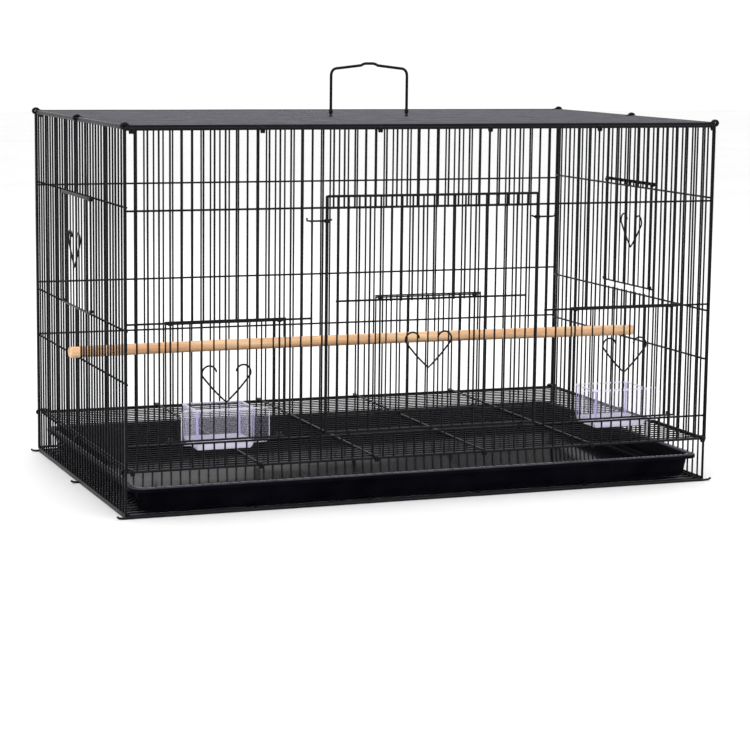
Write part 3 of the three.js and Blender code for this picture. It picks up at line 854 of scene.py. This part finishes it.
def cup_outline(corners, inset, z, round_by=3 * MM, steps=4):
    """A convex outline moved inwards by inset, with every corner turned through a short bend."""
    count = len(corners)
    moved = []
    for i, corner in enumerate(corners):
        a = (corner - corners[i - 1]).normalized()
        b = (corners[(i + 1) % count] - corner).normalized()
        left_a, left_b = Vector((-a.y, a.x)), Vector((-b.y, b.x))
        moved.append(corner + (left_a + left_b) * inset / (1 + left_a.dot(left_b)))
    points = []
    for i, corner in enumerate(moved):
        a = (moved[i - 1] - corner).normalized() * round_by
        b = (moved[(i + 1) % count] - corner).normalized() * round_by
        points += [Vector((p.x, p.y, z)) for p in bend(corner + a, corner, corner + b, steps)]
    return points


def rectangle(centre_x, half, low, high):
    left, right = centre_x - half, centre_x + half
    return [Vector(p) for p in ((left, low), (right, low), (right, high), (left, high))]


def cup(side):
    """A clear trough, its foot and rim painted with a near-white glow and its corners with lavender
    highlights, behind a wide flange with two hooks.
    """
    node = side + "_cup"
    low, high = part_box(node)
    centre_x = (low.x + high.x) / 2
    depth = high.z - low.z
    rail = middle("front_rail_left_low")
    front = rail.y + 1.3 * MM
    wall, trough_half, hook_spread = 2 * MM, 37 * MM, 20 * MM
    foot_height, rim_height = 8 * MM, 2.6 * MM
    # Inset and height, from the middle of the underside, up over the rim and down to the floor inside.
    profile = [
        (7 * MM, 0), (4 * MM, 0.6 * MM), (2.2 * MM, 3.5 * MM), (1 * MM, 9 * MM),
        (0.6 * MM, depth - 3 * MM), (0, depth - 2.4 * MM), (0, depth - 0.6 * MM), (0.6 * MM, depth),
        (wall, depth), (wall + 0.5 * MM, depth - 0.8 * MM), (wall + 1 * MM, 9 * MM),
        (wall + 2.2 * MM, 4.6 * MM), (wall + 4 * MM, wall + 0.8 * MM), (wall + 7 * MM, wall),
    ]
    corners = rectangle(centre_x, trough_half, front, high.y)
    bm = bmesh.new()
    skin(bm, [cup_outline(corners, inset, low.z + up) for inset, up in profile])
    bm.normal_update()
    # The foot and rim take the painted glow, the corners the painted highlights.
    for face in bm.faces:
        z = face.calc_center_median().z
        if z < low.z + foot_height or z > high.z - rim_height:
            face.material_index = EDGE_SLOT
        elif min(abs(face.normal.x), abs(face.normal.y)) > 0.25:
            face.material_index = CORNER_SLOT
    trough_faces = set(bm.faces)
    cup_flange(bm, centre_x, low, high, front)
    bm.normal_update()
    # The flange's edges take the painted glow too.
    for face in bm.faces:
        if face not in trough_faces:
            face.material_index = EDGE_SLOT if abs(face.normal.y) < 0.9 else WALL_SLOT
    for sign in (-1, 1):
        hang_hook(bm, centre_x + sign * hook_spread, front, rail.z)
    obj = piece(bm, node + "_moulded", node, CLEAR_PLASTIC, [node])
    obj.data.materials.append(PAINTED_GLOW_PLASTIC)
    obj.data.materials.append(PAINTED_HIGHLIGHT_PLASTIC)
    mark_sharp(obj, 35)


def cup_flange(bm, centre_x, low, high, front):
    """A flat plate in the plane of the front wall, with round corners and a small bead along its edge."""
    base = low.z + 7.3 * MM
    corners = rectangle(centre_x, (high.x - low.x) / 2, base, high.z)
    layers = [(0.8 * MM, 0), (0, 0.5 * MM), (0, 1.5 * MM), (0.8 * MM, 1.9 * MM)]
    outlines = []
    for inset, back in layers:
        flat = cup_outline(corners, inset, 0, 6 * MM, 6)
        outlines.append([Vector((p.x, front + back, p.y)) for p in flat])
    skin(bm, outlines)


def hang_hook(bm, x, front, rail_z):
    """A moulded hook that lies over the low rail."""
    half = 4 * MM
    section = [(1, 1.4), (1, 3.5), (-1.6, 3.5), (-2.2, 2.9), (-2.2, 1.4)]  # y and z, in millimetres
    skin(bm, [
        [Vector((x + along, front + y * MM, rail_z + z * MM)) for y, z in section]
        for along in (-half, half)
    ])


def perch():
    """A slightly bowed dowel with softened ends, each end slotted over one bar of the side panel."""
    low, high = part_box("perch")
    centre = (low + high) / 2
    radius, bow, plain_end = 7 * MM, 1.8 * MM, 30 * MM
    half = (high.x - low.x) / 2
    softened = [(-half, 0.86), (-half + 1 * MM, 0.97), (-half + 2.4 * MM, 1.0)]
    stations = [*softened, *((x, 1.0) for x in spaced(-half + plain_end, half - plain_end, 10))]
    stations += [(-x, size) for x, size in reversed(softened)]
    outlines = []
    for x, size in stations:
        sway = bow * (1 - (x / half) ** 2)
        place = (x, centre.y, centre.z + sway)
        outlines.append(arc(place, radius * size, 0, 352.5, (0, 1, 0), (0, 0, 1), 47))
    bm = bmesh.new()
    skin(bm, outlines)
    obj = piece(bm, "perch_dowel", "perch", WOOD, ["perch"])
    slot_perch(obj, centre, half, radius)
    mark_sharp(obj, 40)


def slot_perch(obj, centre, half, radius):
    """Cuts the two end slots and keeps the result as the mesh."""
    slot_start = SIDE_X - MM - 0.4 * MM
    beyond_end = half + 2 * MM
    slot_width = 2 * (EDGE + 0.25 * MM)
    size = Vector((beyond_end - slot_start, slot_width, 4 * radius))
    bm = bmesh.new()
    for sign in (-1, 1):
        made = bmesh.ops.create_cube(bm, size=1.0)
        slot_middle = (sign * (slot_start + beyond_end) / 2, centre.y, centre.z)
        place = Matrix.Translation(slot_middle) @ Matrix.Diagonal((*size, 1))
        bmesh.ops.transform(bm, matrix=place, verts=made["verts"])
    cutter_mesh = bpy.data.meshes.new("slot_cutter")
    bm.to_mesh(cutter_mesh)
    bm.free()
    cutter = bpy.data.objects.new("slot_cutter", cutter_mesh)
    bpy.context.scene.collection.objects.link(cutter)
    cut = obj.modifiers.new("slots", "BOOLEAN")
    cut.operation = "DIFFERENCE"
    cut.solver = "EXACT"
    cut.object = cutter
    bpy.context.view_layer.update()
    evaluated = obj.evaluated_get(bpy.context.evaluated_depsgraph_get())
    result = bpy.data.meshes.new_from_object(evaluated)
    obj.modifiers.clear()
    obj.data = result
    bpy.data.objects.remove(cutter)


# ---------------------------------------------------------------- stage


def studio():
    """A pale floor, a bright room, and soft lights above, in front and behind."""
    bm = bmesh.new()
    bmesh.ops.create_grid(bm, x_segments=8, y_segments=8, size=12)
    mesh = bpy.data.meshes.new("floor")
    bm.to_mesh(mesh)
    bm.free()
    floor = bpy.data.objects.new("floor", mesh)
    floor.location.z = -0.2 * MM  # the base wires lie just clear of it
    bpy.context.scene.collection.objects.link(floor)
    floor.data.materials.append(floor_material())
    world = bpy.data.worlds.new("studio")
    world.use_nodes = True
    background = world.node_tree.nodes["Background"]
    background.inputs["Color"].default_value = (1, 1, 1, 1)
    background.inputs["Strength"].default_value = 1.06
    bpy.context.scene.world = world
    soft_light("key", (-1.6, -1.9, 2.6), 2.2, 38)
    soft_light("fill", (2.2, -1.4, 1.7), 2.0, 14)
    soft_light("rear", (0.4, 2.2, 2.2), 2.4, 16)


def soft_light(name, place, size, power):
    """A square light of the given side, aimed at the middle of the cage."""
    light = bpy.data.lights.new(name, "AREA")
    light.shape = "SQUARE"
    light.size = size
    light.energy = power
    obj = bpy.data.objects.new(name, light)
    obj.location = place
    target = Vector((0, 0, 0.22))
    obj.rotation_euler = (target - Vector(place)).to_track_quat("-Z", "Y").to_euler()
    bpy.context.scene.collection.objects.link(obj)


def camera():
    """Seen from the front left, a little above the cage, through a long lens."""
    place = Vector((-1.0544, -2.7781, 0.5713))
    yaw, pitch, roll = math.radians(21.04), math.radians(-8.61), math.radians(0.66)
    ahead = Vector((math.sin(yaw) * math.cos(pitch), math.cos(yaw) * math.cos(pitch), math.sin(pitch)))
    level = Vector((math.cos(yaw), -math.sin(yaw), 0))
    upward = level.cross(ahead)
    right = level * math.cos(roll) + upward * math.sin(roll)
    up = upward * math.cos(roll) - level * math.sin(roll)
    data = bpy.data.cameras.new("camera")
    data.lens = 110.5
    data.sensor_width = 36
    data.clip_end = 60
    obj = bpy.data.objects.new("camera", data)
    turned = Matrix((right, up, -ahead)).transposed().to_4x4()
    obj.matrix_world = Matrix.Translation(place) @ turned
    bpy.context.scene.collection.objects.link(obj)
    bpy.context.scene.camera = obj
    bpy.context.scene.view_settings.view_transform = "Standard"


camera()
studio()
cage_panels()
front_door()
for each in ("left", "right"):
    feeder_door(each)
    nest_door(each)
    cup(each)
handle()
tray()
perch()
